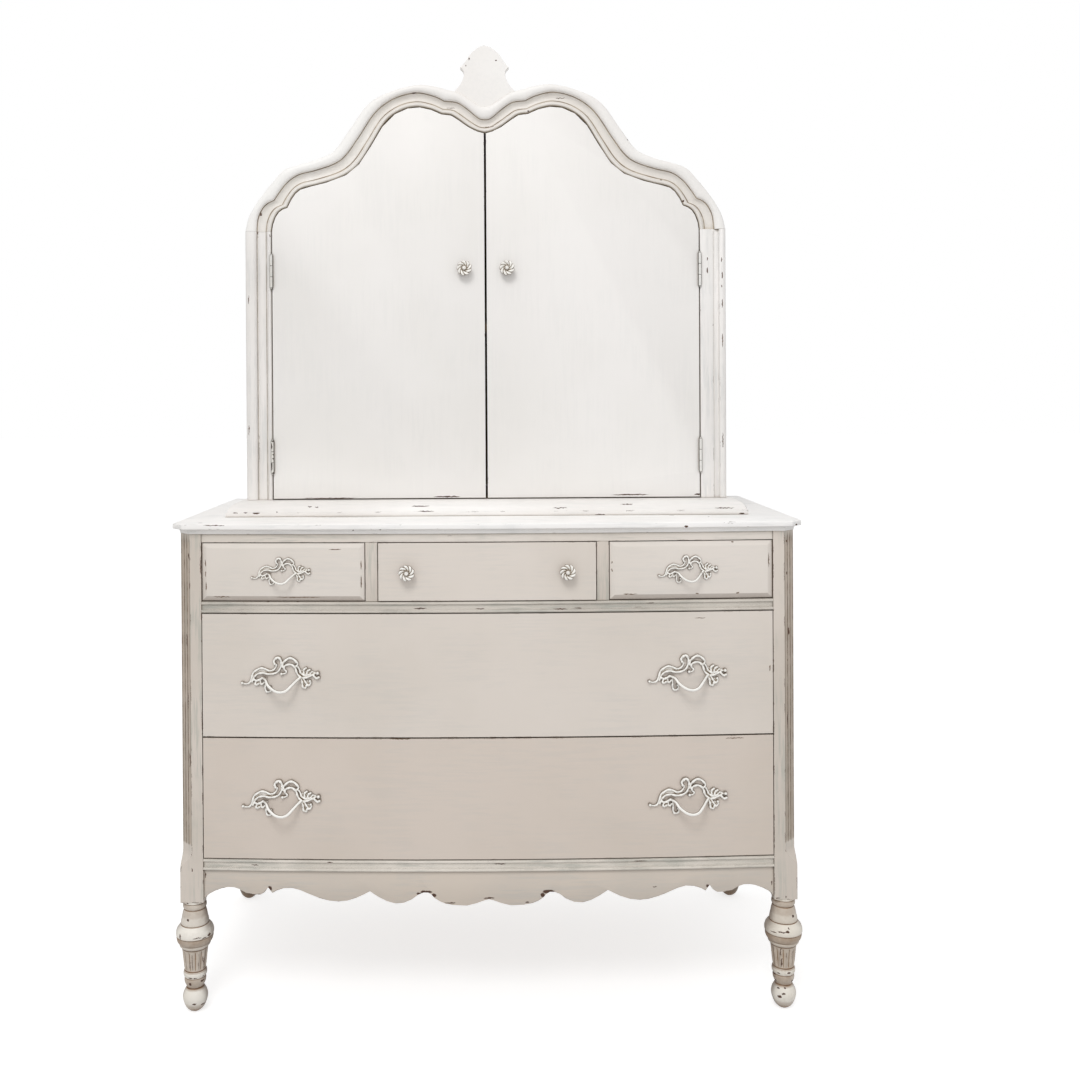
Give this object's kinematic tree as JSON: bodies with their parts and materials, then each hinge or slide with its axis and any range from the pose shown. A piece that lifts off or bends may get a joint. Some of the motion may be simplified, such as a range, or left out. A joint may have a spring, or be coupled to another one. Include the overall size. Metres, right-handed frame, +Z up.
{
  "type": "dresser with hutch",
  "caption": "Painted bow-fronted dresser on turned legs with drawers below and an arched cupboard with paired doors above.",
  "frame": {"origin": "middle of the overall footprint on the floor", "axes": "+X to the right as seen from the front, the front faces -Y, +Z up"},
  "size_m": [1.146, 0.5474, 1.7973],
  "materials": {
    "painted_case": "off-white chalk paint rubbed through to brown wood at the edges",
    "painted_drawer_fronts": "off-white chalk paint, satin, lightly worn at the edges",
    "painted_hutch": "white chalk paint, satin, rubbed through at the edges",
    "bare_wood": "unpainted brown wood",
    "painted_castings": "white paint over cast metal, worn on the high points",
    "painted_hinges": "white paint over steel, chipped"
  },
  "bodies": {
    "case": {"front_left_post": "painted_case", "front_right_post": "painted_case", "rear_left_post": "painted_case", "rear_right_post": "painted_case", "side_panel_left": "painted_case", "side_panel_right": "painted_case", "case_back": "bare_wood", "top_board": "painted_hutch", "top_rail": "painted_case", "middle_rail": "painted_case", "lower_rail": "painted_case", "apron": "painted_case", "divider_left": "painted_case", "divider_right": "painted_case", "dust_panel_upper": "bare_wood", "dust_panel_middle": "bare_wood", "dust_panel_bottom": "bare_wood", "hutch_plinth": "painted_hutch", "hutch_floor": "bare_wood", "hutch_side_left": "painted_hutch", "hutch_side_right": "painted_hutch", "hutch_back": "bare_wood", "hutch_roof": "painted_hutch", "hutch_shelf": "bare_wood", "stile_left": "painted_hutch", "stile_right": "painted_hutch", "hinge_strip": "painted_hutch", "crest_rail": "painted_hutch", "finial": "painted_hutch", "hinge_left_lower_frame_leaf": "painted_hinges", "hinge_left_upper_frame_leaf": "painted_hinges", "hinge_right_lower_frame_leaf": "painted_hinges", "hinge_right_upper_frame_leaf": "painted_hinges"},
    "drawer_top_left": {"drawer_top_left_front": "painted_drawer_fronts", "drawer_top_left_box": "bare_wood", "pull_top_left": "painted_castings"},
    "drawer_top_centre": {"drawer_top_centre_front": "painted_drawer_fronts", "drawer_top_centre_box": "bare_wood", "knob_drawer_left": "painted_castings", "knob_drawer_right": "painted_castings"},
    "drawer_top_right": {"drawer_top_right_front": "painted_drawer_fronts", "drawer_top_right_box": "bare_wood", "pull_top_right": "painted_castings"},
    "drawer_middle": {"drawer_middle_front": "painted_drawer_fronts", "drawer_middle_box": "bare_wood", "pull_middle_left": "painted_castings", "pull_middle_right": "painted_castings"},
    "drawer_bottom": {"drawer_bottom_front": "painted_drawer_fronts", "drawer_bottom_box": "bare_wood", "pull_bottom_left": "painted_castings", "pull_bottom_right": "painted_castings"},
    "left_door": {"door_left": "painted_hutch", "hinge_left_lower_door_leaf": "painted_hinges", "hinge_left_upper_door_leaf": "painted_hinges", "knob_door_left": "painted_castings"},
    "right_door": {"door_right": "painted_hutch", "hinge_right_lower_door_leaf": "painted_hinges", "hinge_right_upper_door_leaf": "painted_hinges", "knob_door_right": "painted_castings"}
  },
  "joints": [
    {"name": "drawer_top_left_slide", "type": "slide", "parent": "case", "child": "drawer_top_left", "axis": [0, -1, 0], "range_m": [0, 0.38]},
    {"name": "drawer_top_centre_slide", "type": "slide", "parent": "case", "child": "drawer_top_centre", "axis": [0, -1, 0], "range_m": [0, 0.38]},
    {"name": "drawer_top_right_slide", "type": "slide", "parent": "case", "child": "drawer_top_right", "axis": [0, -1, 0], "range_m": [0, 0.38]},
    {"name": "drawer_middle_slide", "type": "slide", "parent": "case", "child": "drawer_middle", "axis": [0, -1, 0], "range_m": [0, 0.38]},
    {"name": "drawer_bottom_slide", "type": "slide", "parent": "case", "child": "drawer_bottom", "axis": [0, -1, 0], "range_m": [0, 0.38]},
    {"name": "left_door_hinge", "type": "hinge", "parent": "case", "child": "left_door", "pos_m": [-0.4129, -0.10682, 1.1813], "axis": [0, 0, -1], "range_deg": [0, 110]},
    {"name": "right_door_hinge", "type": "hinge", "parent": "case", "child": "right_door", "pos_m": [0.4129, -0.10682, 1.1813], "axis": [0, 0, 1], "range_deg": [0, 110]}
  ]
}
